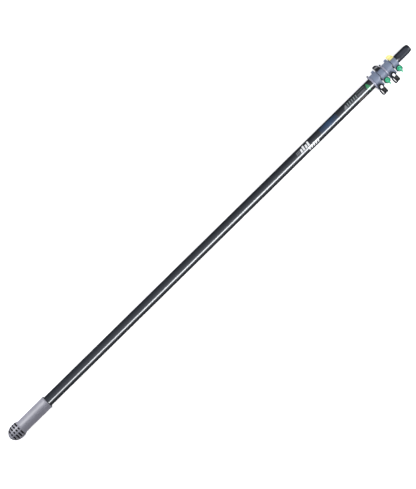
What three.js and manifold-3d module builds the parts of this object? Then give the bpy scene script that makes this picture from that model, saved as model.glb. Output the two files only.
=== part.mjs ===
// Telescopic window cleaning pole, collapsed: three round tubes, two lever clamps,
// a vented rubber end cap and a tool spigot.
// Millimetres, +Z up. The pole lies on the floor along X, its end cap at -X.
// Inside the pole group x runs from the cap's nose to the spigot's end, the tubes' axis is
// y = z = 0, the levers point to -y, the hose clips to +y, and the clamps' top side is +z.

import * as THREE from 'three';
import { mergeVertices } from 'three/addons/utils/BufferGeometryUtils.js';
import Module from 'manifold-3d';

const wasm = await Module();
wasm.setup();

// ---------- driving dimensions ----------

const POLE_LENGTH = 1755;
const GAP = 0.3; // left between pieces that touch or slide
const ROUND = 36; // segments round a tube or cap
const SMALL_ROUND = 20; // segments round a bolt, knob or wheel

const WALL = 1.5;
const OUTER = { r: 17.5, from: 58, to: 1616 };
const MIDDLE = { r: 15.5, from: 78, to: 1668 };
const INNER = { r: 13.5, from: 104, to: 1699 };
const TUBE_SLOT_LENGTH = 22; // saw cuts that let a tube's mouth close
const TUBE_SLOT_WIDTH = 2;

const CAP = { bulbR: 25.8, noseRise: 32, bulbEnd: 42, neckEnd: 54, sleeveR: 21.6, end: 165 };
const CAP_RIM = { r: 23, from: 159, to: 163 };
const CAP_WALL = 4;
const HOLLOW_END = 48;
const CORE = { tip: 12, rise: 14, r: 18.5, shoulder: 47.4, neckR: 14, boreFrom: 24, boreR: 8 };
const VENT_RINGS = [14.5, 25, 35, 44.5];
const VENT_WIDTH = 5.4;
const VENT_REPEAT = 90; // degrees from one long vent to the next
const LONG_VENT = { centre: 37.7, span: 52 };
const SHORT_VENT = { centre: -7.3, span: 18 };

const CLAMP_STARTS = [1592, 1645];
const CLAMP_LENGTHS = [52.4, 51];
const LIP_LENGTH = 5;
const WIDE_END = 30;
const RELIEF = { from: 26, to: WIDE_END, y: -6 };
const SPLIT_WIDTH = 3;
const HUB = { x: 11, y: -28.2, r: 8 };
const KNOB = { x: 40, y: -26.7, r: 8 };
const REAR_EAR = { from: 3, to: 25.8, y: -31, halfWidth: 13.5 };
const FRONT_EAR = { from: 30.2, to: 49, y: -31, halfWidth: 8 };
const FLANK = { z: 15.2, y: -13.4, to: 21 };
const LUG = { from: 20.5, to: 29.5, halfWidth: 5.5, tops: [27.5, 25.3] };
const LEVER = { z: 15.5, thickness: 6.5, eyeR: 9.3, left: -14, right: 7.5, top: -5, bottom: -25.5 };
const LEVER_SLIT = { from: 4.6, to: 6.4, low: 3.6, high: 19 }; // from the paddle's left and lower edges
const BOLT = { r: 3, headR: 4.6, headHeight: 2 };
const WHEEL = { r: 9, thickness: 7, lobes: 8 };
const KNOB_TOP = 13.6;
const KNOB_SEAT_R = 10.3;
const KNOB_SCREW = { r: 2, headR: 3.4 };
const TAIL = { width: 5, y: -15.8 };
const CLIP = {
  from: 33.5,
  to: 51,
  boreR: 4.1,
  wall: 2.5,
  mouth: 5,
  saddle: 2,
  tops: [34.8, 28.8],
  skirtY: [15, 11.5],
  slopeDrop: 8.5,
  crest: 9,
};
const CLIP_FOOT_X = (CLIP.from + CLIP.to) / 2;
const COLLAR_SCREW = { x: 3, headR: 2.8, r: 1.5, top: 27.2 };
const SPIGOT = { r: 13.8, from: 1699.5, taperFrom: 1738, endR: 11.6, round: 5, plugFrom: 1664 };
const SPIGOT_PIN = { x: 1684, r: 1.5 };

const AXIS_HEIGHT = CAP.bulbR;
const REACH_DOWN = HUB.y + LEVER.bottom;
const AXIS_OFFSET = -(CLIP.tops[0] + REACH_DOWN) / 2;

// ---------- solids ----------

function solid(geometry) {
  const source = geometry.index ? geometry.toNonIndexed() : geometry.clone();
  source.deleteAttribute('normal');
  source.deleteAttribute('uv');
  const merged = mergeVertices(source, 1e-4);
  const vertProperties = new Float32Array(merged.attributes.position.array);
  const corners = Array.from(merged.index.array);
  const triangles = [];
  for (let i = 0; i < corners.length; i += 3) {
    const [a, b, c] = corners.slice(i, i + 3);
    if (a !== b && b !== c && c !== a) triangles.push([a, b, c]);
  }
  const inward = signedVolume(vertProperties, triangles) < 0;
  const triVerts = new Uint32Array(triangles.flatMap(([a, b, c]) => (inward ? [a, c, b] : [a, b, c])));
  return new wasm.Manifold(new wasm.Mesh({ numProp: 3, vertProperties, triVerts }));
}

function signedVolume(positions, triangles) {
  const at = (i) => new THREE.Vector3().fromArray(positions, 3 * i);
  return triangles.reduce((sum, [a, b, c]) => sum + at(a).dot(at(b).cross(at(c))) / 6, 0);
}

function piece(name, material, body) {
  const mesh = body.getMesh();
  const geometry = new THREE.BufferGeometry();
  geometry.setAttribute('position', new THREE.BufferAttribute(mesh.vertProperties, 3));
  geometry.setIndex(new THREE.BufferAttribute(mesh.triVerts, 1));
  geometry.computeVertexNormals();
  const result = new THREE.Mesh(geometry, material);
  result.name = name;
  return result;
}

// A closed profile of [x, radius] points turned round the X axis.
function turned(profile, segments = ROUND) {
  const points = profile.map(([x, r]) => new THREE.Vector2(r, x));
  const closed = points[0].x > 0 ? [...points, points[0].clone()] : points;
  const geometry = new THREE.LatheGeometry(closed, segments);
  geometry.rotateZ(-Math.PI / 2);
  return solid(geometry);
}

function ring(x0, x1, outerR, innerR, segments = ROUND) {
  return turned([[x0, innerR], [x0, outerR], [x1, outerR], [x1, innerR]], segments);
}

function disc(x0, x1, r, segments = ROUND) {
  return turned([[x0, 0], [x0, r], [x1, r], [x1, 0]], segments);
}

function block([x0, x1], [y0, y1], [z0, z1]) {
  const geometry = new THREE.BoxGeometry(x1 - x0, y1 - y0, z1 - z0);
  geometry.translate((x0 + x1) / 2, (y0 + y1) / 2, (z0 + z1) / 2);
  return solid(geometry);
}

// A flat outline in x and y, from z0 up to z1.
function plate(shape, z0, z1, curveSegments = 8) {
  const geometry = new THREE.ExtrudeGeometry(shape, { depth: z1 - z0, bevelEnabled: false, curveSegments });
  geometry.translate(0, 0, z0);
  return solid(geometry);
}

function post(x, y, r, z0, z1, segments = SMALL_ROUND) {
  const geometry = new THREE.CylinderGeometry(r, r, z1 - z0, segments);
  geometry.rotateX(Math.PI / 2);
  geometry.translate(x, y, (z0 + z1) / 2);
  return solid(geometry);
}

// A round pin along Y.
function peg(x, z, r, y0, y1, segments = 12) {
  const geometry = new THREE.CylinderGeometry(r, r, y1 - y0, segments);
  geometry.translate(x, (y0 + y1) / 2, z);
  return solid(geometry);
}

function roundedRectangle(x0, x1, y0, y1, r) {
  const shape = new THREE.Shape();
  shape.moveTo(x0 + r, y0);
  shape.lineTo(x1 - r, y0);
  shape.absarc(x1 - r, y0 + r, r, -Math.PI / 2, 0);
  shape.lineTo(x1, y1 - r);
  shape.absarc(x1 - r, y1 - r, r, 0, Math.PI / 2);
  shape.lineTo(x0 + r, y1);
  shape.absarc(x0 + r, y1 - r, r, Math.PI / 2, Math.PI);
  shape.lineTo(x0, y0 + r);
  shape.absarc(x0 + r, y0 + r, r, Math.PI, 1.5 * Math.PI);
  return shape;
}

function joined(...bodies) {
  return bodies.reduce((all, body) => all.add(body));
}

function cut(body, ...tools) {
  return tools.reduce((left, tool) => left.subtract(tool), body);
}

// ---------- materials ----------

function finish(color, roughness, metalness = 0) {
  return new THREE.MeshStandardMaterial({ color, roughness, metalness });
}

const composite = finish(0x2b2e34, 0.28);
const greyRubber = finish(0x94959c, 0.8);
const greyNylon = finish(0x8890a8, 0.45);
const blackNylon = finish(0x1a1a1d, 0.35);
const greenNylon = finish(0x25b077, 0.4);
const yellowNylon = finish(0xf5e27a, 0.4);
const steel = finish(0xd9dade, 0.25, 1);

// ---------- end cap ----------

function capProfile() {
  const outside = [];
  const steps = 10;
  for (let i = 0; i <= steps; i += 1) {
    const turn = (i / steps) * (Math.PI / 2);
    outside.push([CAP.noseRise * (1 - Math.cos(turn)), CAP.bulbR * Math.sin(turn)]);
  }
  for (let i = 0; i <= 4; i += 1) {
    const blend = (1 - Math.cos((i / 4) * Math.PI)) / 2;
    const x = CAP.bulbEnd + (i / 4) * (CAP.neckEnd - CAP.bulbEnd);
    outside.push([x, CAP.bulbR + (CAP.sleeveR - CAP.bulbR) * blend]);
  }
  return outside;
}

function endCap() {
  const outside = capProfile();
  const seat = OUTER.from - 4 - GAP;
  const hollow = outside
    .filter(([x]) => x > CAP_WALL + 4 && x <= HOLLOW_END)
    .map(([x, r]) => [x, r - CAP_WALL]);
  const hollowStart = [hollow[0][0], 0];
  const shell = turned([
    ...outside,
    [CAP_RIM.from, CAP.sleeveR],
    [CAP_RIM.from, CAP_RIM.r],
    [CAP_RIM.to, CAP_RIM.r],
    [CAP.end, CAP.sleeveR - 1],
    [CAP.end, OUTER.r + GAP],
    [seat, OUTER.r + GAP],
    [seat, OUTER.r - 3],
    [hollow.at(-1)[0], OUTER.r - 3],
    ...hollow.reverse(),
    hollowStart,
  ]);
  return cut(shell, ...ventCutters());
}

// A vent is a sector of a flat ring: it starts inside the hollow and ends outside the bulb. Its centre
// is in degrees from -z towards +y.
function ventSector(x, centre, span) {
  const at = (r, degrees) => {
    const turn = THREE.MathUtils.degToRad(degrees);
    return new THREE.Vector2(r * Math.cos(turn), r * Math.sin(turn));
  };
  const [from, to] = [centre - span / 2, centre + span / 2];
  const outerR = CAP.bulbR + 4;
  const shape = new THREE.Shape([
    at(8, from),
    at(outerR, from),
    at(outerR, centre),
    at(outerR, to),
    at(8, to),
  ]);
  const geometry = new THREE.ExtrudeGeometry(shape, { depth: VENT_WIDTH, bevelEnabled: false });
  geometry.rotateY(Math.PI / 2);
  geometry.translate(x - VENT_WIDTH / 2, 0, 0);
  return solid(geometry);
}

function ventCutters() {
  const cutters = [];
  for (const x of VENT_RINGS) {
    for (let turn = 0; turn < 360; turn += VENT_REPEAT) {
      for (const vent of [LONG_VENT, SHORT_VENT]) {
        cutters.push(ventSector(x, turn + 180 + vent.centre, vent.span));
      }
    }
  }
  return cutters;
}

// The plug in the outer tube's foot. Its domed black core fills the cap's bulb behind the vents.
function basePlug() {
  const dome = [];
  const steps = 6;
  for (let i = 0; i <= steps; i += 1) {
    const turn = (i / steps) * (Math.PI / 2);
    dome.push([CORE.tip + CORE.rise * (1 - Math.cos(turn)), CORE.r * Math.sin(turn)]);
  }
  const flange = [OUTER.from - 4 - GAP, OUTER.from - GAP];
  const plugR = OUTER.r - WALL - GAP;
  return turned([
    ...dome,
    [CORE.shoulder, CORE.r],
    [CORE.shoulder, CORE.neckR],
    [flange[0], CORE.neckR],
    [flange[0], OUTER.r - 0.2],
    [flange[1], OUTER.r - 0.2],
    [flange[1], plugR],
    [OUTER.from + 12, plugR],
    [OUTER.from + 12, CORE.boreR],
    [CORE.boreFrom, CORE.boreR],
    [CORE.boreFrom, 0],
  ]);
}

// ---------- tubes and their ends ----------

function tube({ r, from, to }, slotted) {
  const whole = ring(from, to, r, r - WALL);
  if (!slotted) return whole;
  const along = [to - TUBE_SLOT_LENGTH, to + 1];
  const half = TUBE_SLOT_WIDTH / 2;
  return cut(
    whole,
    block(along, [-r - 1, r + 1], [-half, half]),
    block(along, [-half, half], [-r - 1, r + 1]),
  );
}

// A bush with a flange outside the tube's inner end and a plug glued inside it.
function guideBush({ r, from }, flangeR, boreR) {
  const plugR = r - WALL - GAP;
  return turned([
    [from - 4 - GAP, boreR],
    [from - 4 - GAP, flangeR],
    [from - GAP, flangeR],
    [from - GAP, plugR],
    [from + 12, plugR],
    [from + 12, boreR],
  ]);
}

function spigot() {
  const plugR = INNER.r - WALL - GAP;
  const end = [];
  for (let i = 0; i <= 5; i += 1) {
    const turn = (i / 5) * (Math.PI / 2);
    const x = POLE_LENGTH - SPIGOT.round * (1 - Math.sin(turn));
    end.push([x, SPIGOT.endR - SPIGOT.round * (1 - Math.cos(turn))]);
  }
  const body = turned([
    [SPIGOT.plugFrom, plugR - 3],
    [SPIGOT.plugFrom, plugR],
    [SPIGOT.from, plugR],
    [SPIGOT.from, SPIGOT.r],
    [SPIGOT.taperFrom, SPIGOT.r],
    ...end,
    [POLE_LENGTH, 0],
    [SPIGOT.from + 6, 0],
    [SPIGOT.from, plugR - 3],
  ]);
  const panel = [SPIGOT.from + 4, POLE_LENGTH - 9];
  const panelZ = SPIGOT.r - 1.6;
  return cut(
    body,
    block(panel, [-7.5, 7.5], [panelZ, SPIGOT.r + 1]),
    block(panel, [-7.5, 7.5], [-SPIGOT.r - 1, -panelZ]),
    peg(SPIGOT_PIN.x, 0, SPIGOT_PIN.r + GAP, -INNER.r, INNER.r),
  );
}

// ---------- clamps ----------

// One clamp in its own frame: x = 0 at its rear lip. The tube of radius tubeR ends inside it
// and the tube of radius slideR slides through it.
function clampBody(k, tubeR, slideR) {
  const length = CLAMP_LENGTHS[k];
  const wideR = tubeR + 3.8;
  const narrowR = slideR + 3.6;
  const tubeBore = tubeR + GAP;
  const sleeveBore = slideR + 1.6;
  const stop = slideR + GAP;
  const stopFrom = 24 + GAP;
  const barrel = turned([
    [0, tubeBore],
    [0, wideR + 1.2],
    [1, wideR + 1.7],
    [LIP_LENGTH - 1, wideR + 1.7],
    [LIP_LENGTH, wideR],
    [WIDE_END - 1, wideR],
    [WIDE_END, wideR - 1],
    [WIDE_END, narrowR],
    [length - 1, narrowR],
    [length, narrowR - 1],
    [length, sleeveBore],
    [WIDE_END - 2, sleeveBore],
    [WIDE_END - 2, stop],
    [stopFrom, stop],
    [stopFrom, tubeBore],
  ]);
  const ears = joined(
    block([REAR_EAR.from, REAR_EAR.to], [REAR_EAR.y, -12], [-REAR_EAR.halfWidth, REAR_EAR.halfWidth]),
    post(HUB.x, HUB.y, HUB.r, -REAR_EAR.halfWidth, REAR_EAR.halfWidth),
    block([FRONT_EAR.from, FRONT_EAR.to], [FRONT_EAR.y, -12], [-FRONT_EAR.halfWidth, FRONT_EAR.halfWidth]),
    post(KNOB.x, KNOB.y, KNOB.r, -FRONT_EAR.halfWidth, FRONT_EAR.halfWidth),
  );
  const lugs = joined(
    block([LUG.from, LUG.to], [wideR - 2, LUG.tops[k]], [-LUG.halfWidth, LUG.halfWidth]),
    block([LUG.from, LUG.to], [-LUG.halfWidth, LUG.halfWidth], [-AXIS_HEIGHT, 2 - wideR]),
  );
  const bore = turned([
    [-1, 0],
    [-1, tubeBore],
    [stopFrom, tubeBore],
    [stopFrom, stop],
    [WIDE_END - 2, stop],
    [WIDE_END - 2, sleeveBore],
    [length + 1, sleeveBore],
    [length + 1, 0],
  ]);
  return cut(
    joined(barrel, ears, lugs),
    bore,
    block([-1, length + 1], [-60, -8], [-SPLIT_WIDTH / 2, SPLIT_WIDTH / 2]),
    block([RELIEF.from, RELIEF.to], [-60, RELIEF.y], [-24, 40]),
    block([-1, FLANK.to], [-60, FLANK.y], [FLANK.z, 40]),
    block([-1, FLANK.to], [-60, FLANK.y], [-40, -FLANK.z]),
    post(HUB.x, HUB.y, BOLT.r + GAP, -40, 40),
    post(KNOB.x, KNOB.y, KNOB_SCREW.r + GAP, -40, 40),
    post(KNOB.x, KNOB.y, KNOB_SEAT_R + GAP, FRONT_EAR.halfWidth, 40),
    peg(COLLAR_SCREW.x, 0, COLLAR_SCREW.r + GAP, tubeR - 3, 40),
    peg(CLIP_FOOT_X, 0, 2 + GAP, slideR, 40),
  );
}

// A C-shaped clip on a saddle that wraps the barrel, cut down in a slope towards the tip.
function hoseClip(k, slideR) {
  const seatR = slideR + 3.6 + GAP;
  const top = CLIP.tops[k];
  const outerR = CLIP.boreR + CLIP.wall;
  const centreY = top - outerR + 0.5;
  const up = Math.PI / 2;
  const mouthTurn = Math.asin(CLIP.mouth / 2 / outerR);
  const boreTurn = Math.asin(CLIP.mouth / 2 / CLIP.boreR);
  const profile = new THREE.Shape();
  profile.absarc(0, 0, outerR, up + mouthTurn, up - mouthTurn + 2 * Math.PI);
  profile.absarc(0, 0, CLIP.boreR, up - boreTurn, up + boreTurn - 2 * Math.PI, true);
  const channel = new THREE.ExtrudeGeometry(profile, {
    depth: CLIP.to - CLIP.from,
    bevelEnabled: false,
    curveSegments: 18,
  });
  channel.rotateY(Math.PI / 2);
  channel.translate(CLIP.from, centreY, 0);
  const along = [CLIP.from, CLIP.to];
  const saddle = ring(CLIP.from, CLIP.to, seatR + CLIP.saddle, seatR).intersect(
    block(along, [CLIP.skirtY[k], 40], [-seatR, seatR]),
  );
  const web = block(along, [seatR - 1, centreY], [-4, 4]);
  const barrel = disc(CLIP.from - 1, CLIP.to + 1, seatR);
  const bore = disc(CLIP.from - 1, CLIP.to + 1, CLIP.boreR, 18).translate([0, centreY, 0]);
  const side = new THREE.Shape();
  side.moveTo(CLIP.from, 0);
  side.lineTo(CLIP.to, 0);
  side.lineTo(CLIP.to, top - CLIP.slopeDrop);
  side.lineTo(CLIP.from + CLIP.crest, top);
  side.lineTo(CLIP.from, top);
  const grown = cut(joined(saddle, web, solid(channel)), bore, barrel).intersect(plate(side, -20, 20));
  return joined(grown, peg(CLIP_FOOT_X, 0, 2, slideR + 1.9, seatR + 0.5));
}

function lever() {
  const { x, y } = HUB;
  const paddle = roundedRectangle(x + LEVER.left, x + LEVER.right, y + LEVER.bottom, y + LEVER.top, 5);
  const top = LEVER.z + LEVER.thickness;
  const [slitX, slitY] = [x + LEVER.left, y + LEVER.bottom];
  return cut(
    joined(plate(paddle, LEVER.z, top), post(x, y, LEVER.eyeR, LEVER.z, top, 28)),
    post(x, y, BOLT.r + GAP, LEVER.z - 1, top + 1),
    block(
      [slitX + LEVER_SLIT.from, slitX + LEVER_SLIT.to],
      [slitY + LEVER_SLIT.low, slitY + LEVER_SLIT.high],
      [LEVER.z - 1, top + 1],
    ),
  );
}

function leverBolt() {
  const top = LEVER.z + LEVER.thickness + GAP;
  const end = -REAR_EAR.halfWidth - GAP - WHEEL.thickness - 1;
  return joined(
    post(HUB.x, HUB.y, BOLT.r, end, top + 0.2),
    post(HUB.x, HUB.y, BOLT.headR, top, top + BOLT.headHeight),
  );
}

function washer(at, outerR, holeR, z0, z1) {
  return cut(post(at.x, at.y, outerR, z0, z1, 28), post(at.x, at.y, holeR, z0 - 1, z1 + 1));
}

function adjustingWheel() {
  const top = -REAR_EAR.halfWidth - GAP;
  let wheel = washer(HUB, WHEEL.r, BOLT.r + GAP, top - WHEEL.thickness, top);
  for (let i = 0; i < WHEEL.lobes; i += 1) {
    const turn = (i / WHEEL.lobes) * 2 * Math.PI;
    const x = HUB.x + (WHEEL.r + 1) * Math.cos(turn);
    const y = HUB.y + (WHEEL.r + 1) * Math.sin(turn);
    wheel = wheel.subtract(post(x, y, 2, top - WHEEL.thickness - 1, top + 1, 8));
  }
  return wheel;
}

function tensionKnob() {
  const { x, y, r } = KNOB;
  const bottom = FRONT_EAR.halfWidth + 1.8;
  const tail = roundedRectangle(x - TAIL.width / 2, x + TAIL.width / 2, y + TAIL.y, y, TAIL.width / 2 - 0.1);
  return cut(
    joined(post(x, y, r, bottom, KNOB_TOP, 28), plate(tail, bottom, KNOB_TOP)),
    post(x, y, KNOB_SCREW.r + GAP, bottom - 1, KNOB_TOP + 1),
  );
}

function knobSeat() {
  const ear = FRONT_EAR.halfWidth;
  return washer(KNOB, KNOB_SEAT_R, KNOB_SCREW.r + GAP, ear + GAP, ear + 1.5);
}

function knobScrew() {
  const head = KNOB_TOP + GAP;
  return joined(
    post(KNOB.x, KNOB.y, KNOB_SCREW.r, -FRONT_EAR.halfWidth - 5, head + 0.2),
    post(KNOB.x, KNOB.y, KNOB_SCREW.headR, head, head + 1.2),
  );
}

function knobNut() {
  const top = -FRONT_EAR.halfWidth - GAP;
  const hexagon = post(KNOB.x, KNOB.y, 4.6, top - 4, top, 6);
  return cut(hexagon, post(KNOB.x, KNOB.y, KNOB_SCREW.r + GAP, top - 5, top + 1));
}

function glideSleeve(k, slideR) {
  const whole = ring(WIDE_END - 2 + GAP, CLAMP_LENGTHS[k] - 0.5, slideR + 1.3, slideR + GAP);
  return cut(whole, block([0, 60], [-30, 0], [-1.5, 1.5]));
}

function collarScrew(tubeR) {
  const seat = tubeR + 3.8 + 1.7 + GAP;
  return joined(
    peg(COLLAR_SCREW.x, 0, COLLAR_SCREW.r, tubeR - WALL + 0.2, seat + 0.2),
    peg(COLLAR_SCREW.x, 0, COLLAR_SCREW.headR, seat, seat + 3.8, SMALL_ROUND),
  );
}

function clamp(k, tubeR, slideR) {
  const group = new THREE.Group();
  group.position.x = CLAMP_STARTS[k];
  const tag = (name) => `${name}_${k + 1}`;
  group.add(
    piece(tag('clamp_body'), greyNylon, clampBody(k, tubeR, slideR)),
    piece(tag('hose_clip'), k === 0 ? blackNylon : yellowNylon, hoseClip(k, slideR)),
    piece(tag('lever'), blackNylon, lever()),
    piece(tag('lever_bolt'), steel, leverBolt()),
    piece(tag('cam_washer'), steel, washer(HUB, 7.5, BOLT.r + GAP, REAR_EAR.halfWidth + GAP, LEVER.z - GAP)),
    piece(tag('adjusting_wheel'), blackNylon, adjustingWheel()),
    piece(tag('tension_knob'), greenNylon, tensionKnob()),
    piece(tag('knob_seat'), blackNylon, knobSeat()),
    piece(tag('knob_screw'), greenNylon, knobScrew()),
    piece(tag('knob_nut'), steel, knobNut()),
    piece(tag('glide_sleeve'), blackNylon, glideSleeve(k, slideR)),
    piece(tag('collar_screw'), blackNylon, collarScrew(tubeR)),
  );
  return group;
}

// ---------- the pole ----------

const pole = new THREE.Group();
pole.position.set(-POLE_LENGTH / 2, AXIS_OFFSET, AXIS_HEIGHT);

const screwHole = (k, r) => peg(CLAMP_STARTS[k] + COLLAR_SCREW.x, 0, COLLAR_SCREW.r + GAP, r - 4, r + 2);

pole.add(
  piece('end_cap', greyRubber, endCap()),
  piece('base_plug', blackNylon, basePlug()),
  piece('outer_tube', composite, cut(tube(OUTER, true), screwHole(0, OUTER.r))),
  piece('middle_tube', composite, cut(tube(MIDDLE, true), screwHole(1, MIDDLE.r))),
  piece('middle_guide_bush', blackNylon, guideBush(MIDDLE, OUTER.r - WALL - GAP, 9)),
  piece('inner_tube', composite, cut(tube(INNER, false), peg(SPIGOT_PIN.x, 0, SPIGOT_PIN.r + GAP, -20, 20))),
  piece('inner_guide_bush', blackNylon, guideBush(INNER, MIDDLE.r - WALL - GAP, 8)),
  piece('tip_spigot', blackNylon, spigot()),
  piece('spigot_pin', steel, peg(SPIGOT_PIN.x, 0, SPIGOT_PIN.r, -INNER.r + 0.3, INNER.r - 0.3)),
  clamp(0, OUTER.r, MIDDLE.r),
  clamp(1, MIDDLE.r, INNER.r),
);

const product = new THREE.Group();
product.add(pole);

export default product;
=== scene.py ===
# %% [markdown]
# # A telescopic window cleaning pole
# The pole is a finished mechanical model: tubes, clamps, levers and joints all have their sizes and
# places. This script gives it its looks. It first loads that model as a fixed frame, then makes one
# smooth, detailed surface for each piece that shows, and lets each one ride on the body it belongs to.

import math

import bmesh
import bpy
import numpy as np
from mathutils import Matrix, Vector


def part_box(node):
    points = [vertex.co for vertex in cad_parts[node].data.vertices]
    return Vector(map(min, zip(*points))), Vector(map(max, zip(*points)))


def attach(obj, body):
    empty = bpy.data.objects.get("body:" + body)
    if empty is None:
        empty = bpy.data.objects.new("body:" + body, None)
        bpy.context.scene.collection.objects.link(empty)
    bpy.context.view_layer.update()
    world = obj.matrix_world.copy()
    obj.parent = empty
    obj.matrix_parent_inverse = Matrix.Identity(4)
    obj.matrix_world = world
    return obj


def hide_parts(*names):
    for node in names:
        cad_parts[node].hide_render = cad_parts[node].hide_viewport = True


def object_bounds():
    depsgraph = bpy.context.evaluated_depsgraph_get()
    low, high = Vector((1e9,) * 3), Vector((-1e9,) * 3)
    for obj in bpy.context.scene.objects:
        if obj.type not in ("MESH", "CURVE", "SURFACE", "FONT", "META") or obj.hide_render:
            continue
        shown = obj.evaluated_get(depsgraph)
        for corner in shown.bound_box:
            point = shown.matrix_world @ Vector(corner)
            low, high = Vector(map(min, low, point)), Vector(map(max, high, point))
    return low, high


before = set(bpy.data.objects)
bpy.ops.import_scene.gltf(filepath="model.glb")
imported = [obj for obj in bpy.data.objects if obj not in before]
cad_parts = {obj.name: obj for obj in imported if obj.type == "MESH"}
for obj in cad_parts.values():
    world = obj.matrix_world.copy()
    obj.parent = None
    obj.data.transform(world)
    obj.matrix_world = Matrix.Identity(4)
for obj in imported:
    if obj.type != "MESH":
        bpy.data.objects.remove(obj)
cad_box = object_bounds()

# %% [markdown]
# ## One set of axes for the whole pole
# A pole is easiest to describe in millimetres from its own centre line. So every shape below is worked
# out with x from the cap's nose, y across to the side away from the levers, and z up. One function
# moves such points to where the frame says the pole lies.

# %% Pole coordinates
MM = 0.001
outer_low, outer_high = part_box("outer_tube")
NOSE = np.array([cad_box[0].x, (outer_low.y + outer_high.y) / 2, (outer_low.z + outer_high.z) / 2])
LENGTH = (cad_box[1].x - cad_box[0].x) / MM


def to_world(points):
    """Millimetres from the nose on the centre line, turned into metres in the frame."""
    return np.asarray(points, float) * MM + NOSE


def limits(node):
    """Lowest and highest corner of a CAD node in pole coordinates, in millimetres."""
    low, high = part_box(node)
    return (np.array(low) - NOSE) / MM, (np.array(high) - NOSE) / MM


def centre(node):
    """Middle of a CAD node's box in pole coordinates."""
    low, high = limits(node)
    return (low + high) / 2


height_mm = (NOSE[2] - cad_box[0].z) / MM
print(f"pole length {LENGTH:.0f} mm, centre line {height_mm:.1f} mm above the floor")

# %% [markdown]
# ## Camera first
# The pole is seen from straight above. A camera can stand close with a wide lens or far off with a long
# one. It stands almost six metres off here, with a 136 mm lens, so that a long thin pole keeps the same
# thickness from end to end. It is rolled, so that the pole runs from the lower left of the view to the
# upper right, and moved a few millimetres to centre it as wanted.

# %% Camera above the pole


def add_object(name, data):
    """An object in the scene that shows a mesh, a lamp or a camera."""
    thing = bpy.data.objects.new(name, data)
    bpy.context.collection.objects.link(thing)
    return thing


CAMERA_HEIGHT = 5.8
LENS = 136
POLE_SLANT = math.radians(44.46)
AIM_RIGHT = 0.0050
AIM_UP = 0.0060

camera = add_object("camera", bpy.data.cameras.new("camera"))
camera.data.lens = LENS
camera.data.clip_end = 100
camera.rotation_euler = (0, 0, -POLE_SLANT)
view_right = np.array([math.cos(POLE_SLANT), -math.sin(POLE_SLANT), 0])
view_up = np.array([math.sin(POLE_SLANT), math.cos(POLE_SLANT), 0])
above_middle = NOSE + np.array([LENGTH * MM / 2, 0, CAMERA_HEIGHT])
camera.location = above_middle - view_right * AIM_RIGHT - view_up * AIM_UP
bpy.context.scene.camera = camera
bpy.context.scene.view_settings.view_transform = "Standard"
print("camera at", [round(v, 2) for v in camera.location])

# %% [markdown]
# ## Tools for materials
# Colours are written as the hex values that a screen shows, while light works on linear values, so one
# function turns one into the other. A second one adds a shader node with its settings and links, which
# keeps each material below short enough to read as a recipe.

# %% Colour and node helpers


def linear(hex_colour):
    """A screen colour such as #808080 as linear red, green, blue and alpha: the sRGB curve undone."""
    parts = np.array([int(hex_colour[i : i + 2], 16) for i in (1, 3, 5)]) / 255
    values = np.where(parts <= 0.04045, parts / 12.92, ((parts + 0.055) / 1.055) ** 2.4)
    return (*values.tolist(), 1.0)


def add_node(tree, kind, inputs=None, **settings):
    """Adds one shader node. settings are its properties; inputs maps a socket's name or number to a
    value, or to the output of another node, which is then linked."""
    node = tree.nodes.new("ShaderNode" + kind)
    for key, value in settings.items():
        setattr(node, key, value)
    for key, value in (inputs or {}).items():
        if isinstance(value, bpy.types.NodeSocket):
            tree.links.new(value, node.inputs[key])
        else:
            node.inputs[key].default_value = value
    return node


COLOUR_A, COLOUR_B, MIXED = 6, 7, 2


def new_material(name):
    """An empty material and its node tree. COLOUR_A, COLOUR_B and MIXED are the numbers of a Mix
    node's two colour inputs and its colour output."""
    material = bpy.data.materials.new(name)
    material.use_nodes = True
    material.node_tree.nodes.clear()
    return material, material.node_tree


def finish_material(material, shader):
    """Links a shader to the material's output and hands the material back."""
    add_node(material.node_tree, "OutputMaterial", {"Surface": shader.outputs[0]})
    return material


print("screen grey #808080 is", round(linear("#808080")[0], 3), "in linear light")


# %% [markdown]
# ## Studio
# The floor is a pale matt sheet, lit a little from below, as studios use to keep shadows faint. Two
# soft boxes light the pole: one beyond its foot end, one on the lever side of its head. A pale sky
# fills in. Glossy tubes show what they reflect: a long box beside the pole, which only glossy surfaces
# see, draws one clean bright line along them. It leans in at the head, so that the line widens towards
# it. Two small boxes each light only a few pieces: one overhead makes the lever bolts' heads shine, and
# one near the foot gives the end cap's rubber its soft sheen. Sizes are in metres, angles in degrees
# from straight above, and powers in watts.

# %% Floor, soft boxes and sky
FOOT_BOX = {"x": -1.0, "tilt": 60, "distance": 1.7, "size": (0.8, 0.6), "power": 36}
HEAD_BOX = {"x": 1.0, "tilt": -38, "distance": 2.2, "size": (1.4, 0.9), "power": 32}
LINE_BOX = {"x": 0.0, "tilt": -39, "distance": 3.0, "size": (4.0, 1.05), "power": 262, "lean": 27}
BOLT_BOX = {"x": 1.08, "tilt": -1, "distance": 2.0, "size": (0.5, 0.5), "power": 8}
CAP_BOX = {"x": -1.0, "tilt": 38, "distance": 1.5, "size": (0.9, 0.42), "power": 60}
FLOOR_GLOW = 0.5
FLOOR_HALF = 30.0
SKY_POWER = 0.68


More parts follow.
